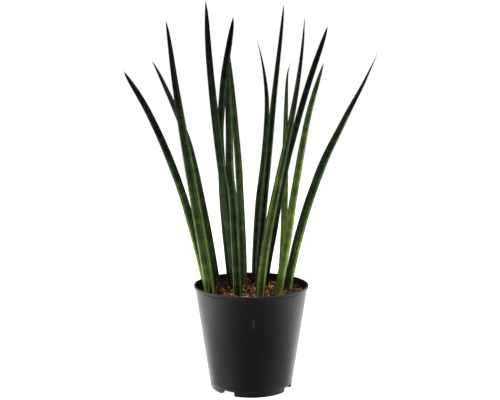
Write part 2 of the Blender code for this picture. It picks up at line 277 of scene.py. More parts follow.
def add_node(tree, kind, inputs=(), stops=(), **settings):
    """Adds a shader node with its settings, inputs and links. stops fill a colour ramp.

    A MapRange takes in order a value, the two ends it runs between and the two ends it is mapped to.
    """
    made = tree.nodes.new("ShaderNode" + kind)
    for name, value in settings.items():
        setattr(made, name, value)
    fill(tree, made, inputs)
    if stops:
        ramp = made.color_ramp.elements
        while len(ramp) < len(stops):
            ramp.new(1.0)
        for element, (position, colour) in zip(ramp, stops):
            element.position = position
            element.color = colour
    return made


def new_material(name, inputs):
    """A material with constants on its shader, what adds a node to it and what fills its shader's inputs."""
    made = bpy.data.materials.new(name)
    made.use_nodes = True
    tree = made.node_tree
    finish = partial(fill, tree, tree.nodes["Principled BSDF"])
    finish(inputs)
    return made, partial(add_node, tree), finish


def grid_quads(rows, columns):
    """Quads between neighbouring rows of a grid whose last column joins its first, counted row by row."""
    low = np.arange(rows - 1)[:, None] * columns
    here = np.arange(columns)[None, :]
    beside = (here + 1) % columns
    corners = [low + here, low + beside, low + columns + beside, low + columns + here]
    return np.stack(corners, -1).reshape(-1, 4)


def fan(first, columns, pole, upwards):
    """Triangles from a closed row of points to a pole."""
    here = np.arange(columns)
    beside = (here + 1) % columns
    ends = (first + here, first + beside) if upwards else (first + beside, first + here)
    return np.stack([*ends, np.full(columns, pole)], -1)


def tube_faces(rows, columns):
    """Faces of a tube whose points are a grid and then its low and its high pole."""
    count = rows * columns
    return [
        grid_quads(rows, columns),
        fan(0, columns, count, upwards=False),
        fan(count - columns, columns, count + 1, upwards=True),
    ]


def closed_tube(rings, low_end, high_end):
    """Points and faces of a skin over a (rows, columns, 3) array, closed to a point at both ends."""
    points = np.concatenate([rings.reshape(-1, 3), [low_end, high_end]])
    return points, tube_faces(*rings.shape[:2])


def on_tube(values, shape):
    """Values at a closed tube's points: spread over its (rows, columns) grid and repeated for both poles."""
    grid = np.broadcast_to(values, shape)
    return np.concatenate([grid.reshape(-1, *shape[2:]), grid[0, :1], grid[-1, :1]])


def mesh_of(name, points, faces):
    """A mesh from points in millimetres and lists of faces."""
    mesh = bpy.data.meshes.new(name)
    mesh.from_pydata((np.asarray(points) * MM).tolist(), [], [f for group in faces for f in group.tolist()])
    return mesh


def add_object(name, data):
    """A new object in the scene, at the origin."""
    made = bpy.data.objects.new(name, data)
    bpy.context.scene.collection.objects.link(made)
    return made


def make_piece(name, points, faces, surface, attributes, sharp=None):
    """A finished piece from points in millimetres and lists of faces, riding on the plant's one body.

    Each attribute is an array with a value for every point, or one number for all of them.
    """
    mesh = mesh_of(name, points, faces)
    for key, values in attributes.items():
        values = np.broadcast_to(values, (len(points), *np.shape(values)[1:]))
        vector = values.ndim == 2
        layer = mesh.attributes.new(key, "FLOAT_VECTOR" if vector else "FLOAT", "POINT")
        layer.data.foreach_set("vector" if vector else "value", values.astype(np.float32).ravel())
    mesh.shade_smooth()
    if sharp is not None:
        mesh.set_sharp_from_angle(angle=math.radians(sharp))
    mesh.materials.append(surface)
    piece = add_object(name, mesh)
    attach(piece, "root")
    return piece


def round_angles(count):
    """Even angles round a full turn."""
    return np.arange(count) * FULL_TURN / count


def unit(vectors):
    """Vectors of length 1 along the last axis."""
    return vectors / np.maximum(np.linalg.norm(vectors, axis=-1, keepdims=True), 1e-9)


def thread_rings(path, radii, sides, aside):
    """Rings of points round paths (..., steps, 3) with radii (..., steps), and the paths' directions.

    aside is a direction that no path runs in.
    """
    tangent = unit(np.gradient(path, axis=-2))
    side = unit(np.cross(tangent, aside))
    over = np.cross(side, tangent)
    turn = round_angles(sides)[:, None]
    swing = side[..., None, :] * np.cos(turn) - over[..., None, :] * np.sin(turn)
    return path[..., None, :] + swing * radii[..., None, None], tangent


def smoothstep(low, high, x):
    """0 below low and 1 above high, with a smooth cubic rise between them."""
    s = np.clip((x - low) / (high - low), 0, 1)
    return s * s * (3 - 2 * s)


def through(low, middle, top, up):
    """The parabola with the value low at up = 0, middle at up = 0.5 and top at up = 1."""
    return low * (1 - up) * (1 - 2 * up) + 4 * middle * up * (1 - up) + top * up * (2 * up - 1)


def wall_radius(pot, z):
    """Outer radius of the pot's tapered wall at height z, a straight line from the foot to under the lip."""
    height, rim, lip = pot.height / MM, pot.rim_radius / MM, pot.lip_depth / MM
    under_lip = rim - LIP_OVERHANG
    return FOOT_RADIUS + (under_lip - FOOT_RADIUS) * z / (height - lip)


def rounded_outline(corners, steps=6):
    """An outline of (radius, height) points whose corners are rounded.

    corners holds (radius, height, rounding). Each rounding is a parabola that touches both sides: the mix
    (1 - s)^2 of its start, 2 s (1 - s) of the corner and s^2 of its end.
    """
    places = np.array([c[:2] for c in corners], float)
    outline = [places[:1]]
    for k in range(1, len(corners) - 1):
        here, rounding = places[k], corners[k][2]
        if rounding == 0:
            outline.append(here[None])
            continue
        back, ahead = places[k - 1] - here, places[k + 1] - here
        start = here + back / np.linalg.norm(back) * rounding
        end = here + ahead / np.linalg.norm(ahead) * rounding
        s = np.linspace(0, 1, steps)[:, None]
        outline.append((1 - s) ** 2 * start + 2 * s * (1 - s) * here + s ** 2 * end)
    outline.append(places[-1:])
    return np.concatenate(outline)


def foot_height(azimuths):
    """Height of the foot ring's bottom edge by azimuth in degrees: 0, or the notch's ceiling inside a notch.

    The ends of each ring segment rise in a quarter circle and then straight up to the ceiling.
    """
    height = np.zeros_like(azimuths)
    for centre in NOTCH_AZIMUTHS:
        off = np.abs((azimuths - centre + 180) % 360 - 180)
        distance = np.radians(off - NOTCH_HALF_ANGLE) * FOOT_RADIUS
        rise = NOTCH_CORNER - np.sqrt(np.clip(NOTCH_CORNER ** 2 - (NOTCH_CORNER - distance) ** 2, 0, None))
        ramp = np.where(distance < NOTCH_CORNER, rise, 0.0)
        height = np.maximum(height, np.where(distance < -0.01, NOTCH_HEIGHT, ramp))
    return height


def pot_azimuths():
    """Azimuths of the pot's columns in degrees: even steps, with close ones round each end of each notch."""
    even = np.arange(0, 360, 1.5)
    near = np.degrees(np.array([-0.04, 0.0, 0.06, 0.2, 0.45, 0.7, NOTCH_CORNER]) / FOOT_RADIUS)
    ends = np.concatenate([[c + s * (NOTCH_HALF_ANGLE + near) for s in (-1, 1)] for c in NOTCH_AZIMUTHS])
    ends = ends.ravel() % 360
    apart = np.abs((even[:, None] - ends[None, :] + 180) % 360 - 180).min(axis=1)
    return np.sort(np.concatenate([even[apart > 0.6], ends]))


def pot_finish(pot):
    """Black polypropylene, injection moulded, satin.

    To the eye: near black, soft reflections that brighten towards the edges, faint flow streaks up the
    wall, a little dust low down and one pale rubbed mark on the front. The streaks are 4 mm apart, the
    grain of the mould is 0.4 mm and the dust lies in patches of 2.4 mm.
    """
    made, node, finish = new_material("polypropylene_moulded_satin", {"Roughness": 0.3, "IOR": 1.49})
    here = node("TexCoord").outputs["Object"]
    upright = node("Mapping", {"Vector": here, "Scale": (1.0, 1.0, 0.06)})
    streaks = node("TexNoise", {"Vector": upright, "Scale": 240.0, "Detail": 3.0})
    grain = node("TexNoise", {"Vector": here, "Scale": 2600.0, "Detail": 2.0})
    dust = node("TexNoise", {"Vector": here, "Scale": 420.0, "Detail": 4.0, "Roughness": 0.7})
    x, y, z = node("SeparateXYZ", (here,)).outputs

    # Rubbed mark: a band 0.8 mm wide about x = 2.1 mm, 73 to 82 mm high, on the front only, broken by dust
    aside = node("Math", (x, 0.0021, 0.0004), operation="COMPARE")
    raised = node("Math", (z, 0.0775, 0.0045), operation="COMPARE")
    front = node("Math", (y, 0.0), operation="LESS_THAN")
    rubbed = dust
    for limit in (aside, raised, front):
        rubbed = node("Math", (rubbed, limit), operation="MULTIPLY")

    # Dust clings in specks, most of all in the lowest 14 mm
    low = node("MapRange", (z, 0.014, 0.0, 0.02, 0.06))
    specks = node("MapRange", (dust, 0.55, 0.72))
    dusty = node("Math", (specks, low), operation="MULTIPLY")
    colour = pot.colour
    for share, pale in ((dusty, "#8C8478"), (rubbed, "#4C4C4E")):
        colour = node("Mix", {FACTOR: share, UNDER: colour, OVER: linear(pale)}, data_type="RGBA")
    rough = node("MapRange", (streaks, 0.3, 0.7, 0.27, 0.34))
    relief = node("Math", (streaks, 0.5, grain), operation="MULTIPLY_ADD")
    bump = node("Bump", {"Height": relief, "Strength": 0.25, "Distance": 0.00006})
    finish({"Base Color": colour, "Roughness": rough, "Normal": bump})
    return made


def husk_finish(soil, name, fine):
    """Coir husk, chopped and dried: matt, fibrous, from damp brown to bright orange.

    To the eye: every chip has its own tone, with lighter lengthwise fibres and darker pores. fine is the
    number of pores in a metre, with twice as many fibres.
    """
    made, node, finish = new_material(name, {"Roughness": 0.85, "IOR": 1.45, "Specular IOR Level": 0.25})
    here = node("TexCoord").outputs["Object"]
    tone = node("Attribute", attribute_name="tone").outputs["Fac"]
    pores = node("TexNoise", {"Vector": here, "Scale": fine, "Detail": 4.0, "Roughness": 0.65})
    stretched = node("Mapping", {"Vector": here, "Scale": (0.35, 1.0, 1.0), "Rotation": (0.3, 0.2, 0.8)})
    hairs = node("TexNoise", {"Vector": stretched, "Scale": 2.2 * fine, "Detail": 2.0})
    mottled = node("Math", (pores, 0.75, tone), operation="MULTIPLY_ADD")
    mixed = node("Math", (hairs, 0.45, mottled), operation="MULTIPLY_ADD")
    spread = node("MapRange", (mixed, 0.55, 1.75))
    colour = node("ValToRGB", (spread,), stops=[
        (0.0, linear("#080402")), (0.28, soil.dark), (0.5, linear("#4E2B14")), (0.75, soil.bright),
        (1.0, linear("#D6A878")),
    ])
    bump = node("Bump", {"Height": mixed, "Strength": 0.6, "Distance": 0.0004})
    finish({"Base Color": colour, "Normal": bump})
    return made


def leaf_finish(leaves):
    """Snake plant leaf: living skin under a thin wax, grown in one piece.

    To the eye: green that darkens to almost black at the point, from bluish to olive by leaf, paler
    margins, dark cross bands about 9 mm apart, fine lengthwise streaks, a soft waxy shine and a dry
    straw-coloured tip. The real streaks are about 0.3 mm wide; they are drawn at about 0.7 mm to show.
    """
    made, node, finish = new_material("leaf_skin_waxed", {"Roughness": 0.36, "IOR": 1.43,
                                                          "Specular IOR Level": 0.08})
    place = node("Attribute", attribute_name="place").outputs["Vector"]
    skin = {key: node("Attribute", attribute_name=key).outputs["Fac"]
            for key in ("age", "pale", "groove", "dry", "olive")}
    scales = {"patches": (0.05, 0.05, 0.03), "bands": (0.035, 0.035, 0.11), "streaks": (0.8, 0.8, 0.02),
              "specks": (2.2, 2.2, 1.1)}
    noises = {}
    for key, scale in scales.items():
        scaled = node("Mapping", {"Vector": place, "Scale": scale})
        noises[key] = node("TexNoise", {"Vector": scaled, "Scale": 1.0, "Detail": 3.0})

    # Age, which carries the painted light and shade of the stripes and the channel, plus what the patches,
    # bands and streaks add to it and the painted shade in the fine grooves, picks the green
    total = skin["age"]
    for key, weight in (("patches", 0.14), ("bands", 0.24), ("streaks", 0.22)):
        centred = node("Math", (noises[key], 0.5), operation="SUBTRACT")
        total = node("Math", (centred, weight * 2, total), operation="MULTIPLY_ADD")
    # Painted shade: the fine grooves darken the green
    total = node("Math", (skin["groove"], 0.13, total), operation="MULTIPLY_ADD")
    green = node("ValToRGB", (total,), stops=[
        (0.0, leaves.young), (0.22, linear("#607234")), (0.42, linear("#3A4E27")),
        (0.60, linear("#24321A")), (0.80, linear("#0F150F")), (1.0, leaves.old),
    ])
    tint = node("Mix", {FACTOR: skin["olive"], UNDER: (1, 1, 1, 1), OVER: (1.03, 1.0, 0.5, 1)},
                data_type="RGBA", clamp_factor=False)
    colour = node("Mix", {FACTOR: 1.0, UNDER: green, OVER: tint}, data_type="RGBA", blend_type="MULTIPLY")
    worn = node("MapRange", (noises["streaks"], 0.25, 0.75, 0.45, 0.95))
    edge = node("Math", (skin["pale"], worn), operation="MULTIPLY")
    for share, over in ((edge, leaves.margin), (skin["dry"], linear("#9A907C"))):
        colour = node("Mix", {FACTOR: share, UNDER: colour, OVER: over}, data_type="RGBA")
    rough = node("MapRange", (noises["specks"], 0.3, 0.7, 0.30, 0.44))
    relief = node("Math", (noises["streaks"], 2.0, noises["specks"]), operation="MULTIPLY_ADD")
    bump = node("Bump", {"Height": relief, "Strength": 0.25, "Distance": 0.00012})
    finish({"Base Color": colour, "Roughness": rough, "Normal": bump})
    return made


def rise(leaf):
    """Height of a leaf's tip above the soil."""
    return leaf.tip[2] - SOIL_LEVEL


def leaf_axis(leaf, t):
    """Points on a leaf's centreline: the straight line from foot to tip plus its two leans and its waves.

    t is 0 at the soil and 1 at the tip. A wave at share c of the way up is
    reach * exp(-((t - c) / 0.09)^2), eased to nothing at the tip. Below the soil t counts millimetres of
    depth, and the line turns straight down: sideways it runs on by slope * 4 mm * (exp(depth / 4 mm) - 1).
    """
    up = np.clip(t, 0, 1)[:, None]
    foot = np.array([*leaf.foot, SOIL_LEVEL])
    tip = np.array(leaf.tip, float)
    low = np.array([*leaf.low, 0.0])
    high = np.array([*leaf.high, 0.0])
    axis = foot + (tip - foot) * up + low * 3 * up * (1 - up) ** 2 + high * 3 * up ** 2 * (1 - up)
    for share, reach in leaf.sway:
        axis[:, :1] += reach * np.exp(-((up - share) / SWAY_SPREAD) ** 2) * np.minimum(1, (1 - up) * 30)
    turning = 4
    depth = np.minimum(t, 0)[:, None]
    slope = (tip - foot + 3 * low) / rise(leaf)
    return axis + slope * (1, 1, 0) * turning * (np.exp(depth / turning) - 1) + (0, 0, 1) * depth


def leaf_radius(leaf, t):
    """Radius of a leaf: a parabola through its three girths, closed off exponentially at the point."""
    up = np.clip(t, 0, 1)
    closed = 1 - np.exp(-(1 - up) * rise(leaf) / leaf.point)
    return through(*leaf.girth, up) / 2 * closed * (1 + 0.01 * np.minimum(t, 0))


def swept(leaf, t, radii, angles):
    """Points at radii[row, column] square to a leaf's centreline, with angle 0 where the channel faces."""
    axis = leaf_axis(leaf, t)
    tangent = unit(np.gradient(axis, axis=0))
    side = math.radians(leaf.channel)
    facing = np.array([math.sin(side), -math.cos(side), 0.0])
    front = unit(facing - tangent * (tangent @ facing)[:, None])
    across = np.cross(tangent, front)
    swing = front[:, None] * np.cos(angles)[..., None] + across[:, None] * np.sin(angles)[..., None]
    return axis[:, None] + swing * radii[..., None]


def bell(angles, centre, half_width):
    """A smooth bump of height 1 round an angle: exp(-(distance / half width)^2), the short way round."""
    off = np.abs((angles - centre + math.pi) % FULL_TURN - math.pi)
    return np.exp(-(off / half_width) ** 2)


def pattern_place(angles, along):
    """Places on the even cylinder, 4 mm in radius, that the patterns of the skin are drawn on."""
    across = PATTERN_RADIUS * np.cos(angles), PATTERN_RADIUS * np.sin(angles)
    return np.stack(np.broadcast_arrays(*across, along), -1)


def make_leaf(leaf, settings, surface, draw):
    """One leaf: a pointed cylinder with fine grooves all round and one deeper channel between pale margins.

    Section: 1.05 - groove depth * ((1 + cos(n a)) / 2)^3 - channel depth * exp(-(a / 24 degrees)^2), where
    a is the angle from the channel, swung a little so that the grooves aren't evenly spaced. 0.12 mm is
    added below the point. Stripes and nicks are bells round an angle, and a nick is one in height too.
    """
    rows, columns, foot_rows = 150, 84, 9
    buried, crowding = 16, 1.4
    above = 1 - (1 - np.arange(rows) / rows) ** crowding
    t = np.concatenate([-np.linspace(1, 0, foot_rows, endpoint=False) ** 2 * buried, above])
    angles = round_angles(columns)
    up = np.clip(t, 0, 1)[:, None]
    from_tip = (1 - up) * rise(leaf)

    phase = draw.uniform(0, FULL_TURN, 4)
    swung = angles + 0.16 * np.sin(2 * angles + phase[0]) + 0.05 * np.sin(3 * angles + phase[1])
    channel = bell(angles, 0, CHANNEL_HALF_ANGLE)
    groove = ((1 + np.cos(leaf.ribs * swung)) / 2) ** 3 * (1 - channel)
    fade = 0.08 + 0.92 * (1 - up)
    uneven = 0.5 + 0.25 * np.sin(up * 21 + phase[2]) + 0.25 * np.sin(up * 47 + phase[3])
    relief = settings.groove_depth * groove + settings.channel_depth * fade * channel + 0.02 * uneven
    radii = leaf_radius(leaf, t)[:, None] * (SKIN_FULLNESS - relief) + SKIN_LIFT * smoothstep(0, 1, from_tip)
    rings = swept(leaf, t, radii, angles[None])
    points, faces = closed_tube(rings, leaf_axis(leaf, t[:1])[0] - (0, 0, 1), leaf.tip)

    def at_side(side, half_width):
        return bell(angles, math.radians(side - leaf.channel), half_width)

    margin = sum(bell(angles, 1.5 * way * CHANNEL_HALF_ANGLE, 0.16) for way in (1, -1))
    # Stripes of painted light on the sides that face the lights, and of painted shade where the strength is
    # below zero
    lit = sum(strength * at_side(side, math.radians(width)) * (1 - smoothstep(top - 0.45, top, up))
              for side, width, strength, top in leaf.lit)
    nicks = sum(at_side(nick.side, nick.half_width / NICKED_LEAF_RADIUS)
                * np.exp(-((up - nick.share) * rise(leaf) / nick.half_height) ** 2)
                for nick in NICKS if nick.leaf == leaf.name)
    low_olive, tip_olive = leaf.olive
    attributes = {
        "olive": low_olive * (1 - up) + tip_olive * up,
        # Painted shade in the channel, strongest at the soil, adds to the age
        "age": through(*leaf.age, up) + 0.10 * channel * (1 - up) - lit,
        "pale": margin * (0.13 * (1 - up) + 0.03),
        # Where the fine grooves lie; the skin is darkened there as painted shade
        "groove": groove,
        "dry": 1 - smoothstep(1.2, 3.5, from_tip) + NICK_PALENESS * nicks,
    }
    attributes = {key: on_tube(values, radii.shape) for key, values in attributes.items()}
    along = up * rise(leaf) + np.minimum(t, 0)[:, None] + draw.uniform(0, 400)
    attributes["place"] = on_tube(pattern_place(angles, along), rings.shape)
    piece = make_piece(leaf.name + "_skin", points, faces, surface, attributes)
    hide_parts(leaf.name)


def make_scale(scale, surface):
    """A small pointed scale that hugs a leaf's foot, with a thin pale rim.

    Half width: full at the soil, falling as (1 - v)^0.8 to the point. Across, the outside lies
    0.3 + 0.6 * (1 - u^2)^0.5 mm off the leaf and the inside is sunk in it.
    """
    leaf = LEAF_BY_NAME[scale.leaf]
    rows, half, buried = 26, 9, 3
    v = np.linspace(0, 0.985, rows)
    u = np.linspace(-1, 1, half)
    loop = np.concatenate([u, u[-2:0:-1]])
    outside = np.concatenate([np.ones(half), np.zeros(half - 2)])
    height = -buried + (scale.height + buried) * v
    t = np.where(height > 0, height / rise(leaf), height)
    reach = scale.half_width * (1 - v) ** 0.8
    radius = leaf_radius(leaf, t)[:, None]
    middle = math.radians(scale.side - leaf.channel)
    angles = middle + loop[None] * (reach[:, None] / radius)
    lift = np.where(outside > 0, 0.30 + 0.6 * np.sqrt(np.clip(1 - loop ** 2, 0, 1)), -0.5)
    rings = swept(leaf, t, radius + lift[None] * (0.4 + 0.6 * (1 - v[:, None])), angles)
    tip = swept(leaf, t[-2:], radius[-2:] + 0.1, np.full((2, 1), middle))[-1, 0] + (0, 0, 0.4)
    points, faces = closed_tube(rings, rings[0].mean(axis=0) - (0, 0, 0.3), tip)
    edge = np.maximum(smoothstep(0.45, 0.85, np.abs(loop))[None], smoothstep(0.84, 0.96, v)[:, None])
    # Its near-black skin is painted shade: the dark notch where the groove at the leaf's foot lies in shadow
    make_piece(scale.name, points, faces, surface, {
        "age": 0.86, "pale": on_tube(1.1 * edge, angles.shape), "groove": 0.0, "dry": 0.0,
        "place": on_tube(pattern_place(angles, height[:, None] + 500), rings.shape),
    })


def make_awn(awn, surface):
    """A dry thread on a leaf's point: a tube along a parabola, from 0.5 mm thick down to 0.16 mm.

    With s from 0 to 1 the path is 2 s (1 - s) * bend + s^2 * end from the tip, and starts 2.5 mm inside the
    leaf. It is kept 0.05 mm inside the plant's box.
    """
    leaf = LEAF_BY_NAME[awn.leaf]
    rows, sides, rooted = 16, 8, 2.5
    box_limit = (134.95, 79.95)
    s = np.linspace(0, 1, rows)[:, None]
    inside = leaf_axis(leaf, np.array([1 - rooted / rise(leaf)]))
    path = leaf.tip + 2 * s * (1 - s) * np.array(awn.bend) + s ** 2 * np.array(awn.end)
    path = np.concatenate([inside, path])
    rings, tangent = thread_rings(path, np.linspace(0.25, 0.08, len(path)), sides, (0.0, 1.0, 0.0))
    rings[..., :2] = np.minimum(rings[..., :2], box_limit)
    points, faces = closed_tube(rings, inside[0] - tangent[0] * 0.1, path[-1] + tangent[-1] * 0.15)
    make_piece(awn.name, points, faces, surface, {
        "age": 0.8, "pale": 0.0, "groove": 0.0, "dry": 0.8, "place": points + (0, 0, 700),
    })


def ground(x, y):
    """Height of the soil's top: crossed sine waves 11 mm long and shorter, and a rise of 1.6 mm to the back.

    Forty finer sine waves, 1.8 to 6 mm long and each in a direction of its own, make it rough.
    """
    wave_length, fine = 11, 40
    k = FULL_TURN / wave_length
    waves = np.sin(k * (x + 0.35 * y)) * np.cos(k * (0.8 * y - 0.3 * x))
    waves = waves + 0.7 * np.sin(1.7 * k * (y - 0.4 * x) + 1.0) + 0.5 * np.cos(2.3 * k * (x + 0.9 * y) + 2.0)
    draw = np.random.default_rng(GROUND_SEED)
    shape = (fine, *([1] * np.ndim(x)))
    way, phase = draw.uniform(0, FULL_TURN, (2, *shape))
    length = draw.uniform(1.8, 6.0, shape)
    rough = np.sin(FULL_TURN / length * (x * np.cos(way) + y * np.sin(way)) + phase).sum(axis=0) / fine ** 0.5
    return SOIL_LEVEL - 1.0 + 1.6 * smoothstep(-5, 40, y) + 1.3 * waves / 2.2 + 0.35 * rough


def clear_of_leaves(place, room):
    """Places pushed straight away from each leaf's foot, to its radius plus room from its centre."""
    for leaf in LEAVES:
        away = place - np.array(leaf.foot)
        distance = np.linalg.norm(away, axis=-1, keepdims=True) + 1e-6
        least = leaf.girth[0] / 2 + room
        place = place + away / distance * np.clip(least - distance, 0, None)
    return place


def scattered(draw, count, reach, room):
    """Random places on the soil within reach of the axis, moved room millimetres out of the leaves' feet."""
    angle, out = draw.uniform(0, FULL_TURN, count), reach * np.sqrt(draw.uniform(0, 1, count))
    place = np.stack([out * np.cos(angle), out * np.sin(angle)], -1)
    return clear_of_leaves(place, room)


def freshness_and_shade(place):
    """Share of its tone that a piece keeps at a place: most in the middle, less at the sides, in patches.

    The patches are 0.14 * sin(x / 6.1 + 1.3 sin(y / 9)) * sin(y / 7.3 + 1.1 sin(x / 8) + 0.6). The drop
    towards the left is painted shade of the leaves.
    """
    x, y = place.T
    patches = np.sin(x / 6.1 + 1.3 * np.sin(y / 9)) * np.sin(y / 7.3 + 1.1 * np.sin(x / 8) + 0.6)
    return 0.55 + 0.31 * smoothstep(-40, -4, x) - 0.32 * smoothstep(16, 48, x) + 0.14 * patches


def keep_inside(points, pot):
    """Draws points that reach past the pot's inner wall back to 0.4 mm inside it."""
    limit = wall_radius(pot, points[..., 2]) - pot.wall / MM - WALL_GAP
    reach = np.linalg.norm(points[..., :2], axis=-1)
    points[..., :2] *= np.minimum(1, limit / np.maximum(reach, 1e-6))[..., None]


def turned(a, b, angle):
    """Two coordinates turned by an angle: a cos - b sin and a sin + b cos."""
    return a * np.cos(angle) - b * np.sin(angle), a * np.sin(angle) + b * np.cos(angle)


def turned_pieces(shapes, yaw, tilt, roll):
    """Shapes (count, points, 3) each rolled round its length, tilted end up and turned round +Z."""
    x, y, z = shapes[..., 0], shapes[..., 1], shapes[..., 2]
    y, z = turned(y, z, roll[:, None])
    x, z = turned(x, z, tilt[:, None])
    x, y = turned(x, y, yaw[:, None])
    return np.stack([x, y, z], -1)


def repeated(faces, count, points_each):
    """Face lists of one shape repeated for count shapes whose points follow one another."""
    starts = np.arange(count)[:, None, None] * points_each
    return [(group[None] + starts).reshape(-1, group.shape[1]) for group in faces]


def lay_pieces(name, shapes, faces, pot, surface, draw, reach, room, lifts, tones, darkening, sharp):
    """Lays shapes (count, points, 3) at random places on the soil, within reach and room off the leaves.

    Each shape's tone is the share its place keeps, with painted shade towards the left, times a random number
    from tones to the power darkening.
    """
    count, points_each = shapes.shape[:2]
    place = scattered(draw, count, reach, room)
    lift = draw.uniform(*lifts, count)
    shapes = shapes + np.concatenate([place, (ground(*place.T) + lift)[:, None]], -1)[:, None]
    keep_inside(shapes, pot)
    tone = np.repeat(freshness_and_shade(place) * draw.uniform(*tones, count) ** darkening, points_each)
    make_piece(name, shapes.reshape(-1, 3), repeated(faces, count, points_each), surface,
               {"tone": tone}, sharp)


def make_chips(soil, pot, surface, draw):
    """Coir husk chips: flat six-sided slivers with ragged ends, each with its own size, bend and tone.

    Along the length, width and thickness follow sin(pi * (0.12 + 0.76 s))^0.5 times a random ragged share.
    """
    count, rings, sides = soil.chips, 4, 6
    each = (count, 1, 1)
    length, width, thick = (draw.uniform(low, high, count).reshape(each)
                            for low, high in ((3.0, 10.5), (1.3, 4.6), (0.7, 1.9)))
    s = np.linspace(0, 1, rings)[None, :, None]
    a = round_angles(sides)
    ragged = draw.uniform(0.72, 1.15, (count, rings, sides))
    swell = np.sin(math.pi * (0.12 + 0.76 * s)) ** 0.5 * ragged
    bend = draw.uniform(-0.9, 0.9, each) * np.sin(math.pi * s)
    x = length * (s - 0.5) + draw.uniform(-0.5, 0.5, (count, rings, sides))
    y = width / 2 * np.cos(a) * swell
    z = thick / 2 * np.sin(a) * swell + bend
    ends = np.zeros((count, 2, 3))
    ends[..., 0] = (0.5 * length[..., 0] + 0.4) * (-1, 1)
    shapes = np.concatenate([np.stack([x, y, z], -1).reshape(count, rings * sides, 3), ends], axis=1)
    shapes = turned_pieces(shapes, draw.uniform(0, FULL_TURN, count), draw.normal(0, 0.42, count),
                           draw.normal(0, 0.6, count))
    lay_pieces("coir_chips", shapes, tube_faces(rings, sides), pot, surface, draw, reach=51.5, room=1.6,
               lifts=(-1.0, 2.8), tones=(0.0, 1.12), darkening=2.1, sharp=55)


def make_crumbs(soil, pot, surface, draw):
    """Crumbs: twenty-sided lumps, each stretched and dented at random."""
    count = soil.crumbs
    golden = (1 + 5 ** 0.5) / 2
    corners = np.array([(0, b, c * golden) for b in (-1, 1) for c in (-1, 1)], float)
    corners = np.concatenate([corners, np.roll(corners, 1, axis=1), np.roll(corners, 2, axis=1)])
    corners /= np.linalg.norm(corners[0])
    gaps = np.linalg.norm(corners[:, None] - corners[None], axis=-1)
    near = (gaps > 0.1) & (gaps < 1.1)
    faces = np.array([(i, j, k) for i in range(12) for j in range(i + 1, 12) for k in range(j + 1, 12)
                      if near[i, j] and near[j, k] and near[i, k]])
    a, b, c = corners[faces].transpose(1, 0, 2)
    inward = np.einsum("ij,ij->i", np.cross(b - a, c - a), a) < 0
    faces[inward] = faces[inward][:, ::-1]
    size = draw.uniform(0.35, 1.25, (count, 1, 1)) * draw.uniform(0.6, 1.2, (count, 1, 3))
    shapes = corners[None] * size * draw.uniform(0.75, 1.2, (count, 12, 1))
    shapes = turned_pieces(shapes, *draw.uniform(0, FULL_TURN, (3, count)))
    lay_pieces("coir_crumbs", shapes, [faces], pot, surface, draw, reach=54.5, room=0.7,
               lifts=(0.0, 1.5), tones=(0.0, 0.9), darkening=2.6, sharp=40)


def make_fibres(soil, pot, surface, draw):
    """Curly coir fibres: thin four-sided tubes along random curls.

    The direction of each curl turns by a steady rate plus a sine, and its height arches by sin(pi * s).
    """
    count, steps, sides = soil.fibres, 10, 4
    length = draw.uniform(5, 19, (count, 1))
    s = np.linspace(0, 1, steps)[None]
    heading = draw.uniform(0, FULL_TURN, (count, 1)) + draw.normal(0, 2.4, (count, 1)) * s
    heading = heading + draw.uniform(0.2, 1.1, (count, 1)) * np.sin(draw.uniform(3, 9, (count, 1)) * s)
    stride = length / (steps - 1)
    curl = np.cumsum(np.stack([np.cos(heading), np.sin(heading)], -1), axis=1) * stride[..., None]
    place = scattered(draw, count, reach=52, room=0.5)
    line = clear_of_leaves(curl - curl.mean(1, keepdims=True) + place[:, None], room=0.35)
    arch = draw.uniform(0.3, 4.2, (count, 1)) * np.sin(math.pi * s) + draw.normal(0, 0.25, (count, steps))
    z = ground(line[..., 0], line[..., 1]) + draw.uniform(0.2, 2.2, (count, 1)) + arch
    path = np.concatenate([line, z[..., None]], -1)
    keep_inside(path, pot)

    taper = 0.35 + 0.65 * np.sin(math.pi * (0.08 + 0.84 * s))
    thick = draw.uniform(0.16, 0.42, (count, 1)) * taper
    rings, tangent = thread_rings(path, thick, sides, (0.0, 0.0, 1.0))
    ends = np.stack([path[:, 0] - tangent[:, 0] * 0.2, path[:, -1] + tangent[:, -1] * 0.2], axis=1)
    shapes = np.concatenate([rings.reshape(count, steps * sides, 3), ends], axis=1)
    # The fibres' tone carries the same painted shade towards the left
    tone = np.repeat(freshness_and_shade(place) * draw.uniform(0.2, 1.5, count), shapes.shape[1])
    faces = repeated(tube_faces(steps, sides), count, shapes.shape[1])
    make_piece("coir_fibres", shapes.reshape(-1, 3), faces, surface, {"tone": tone})


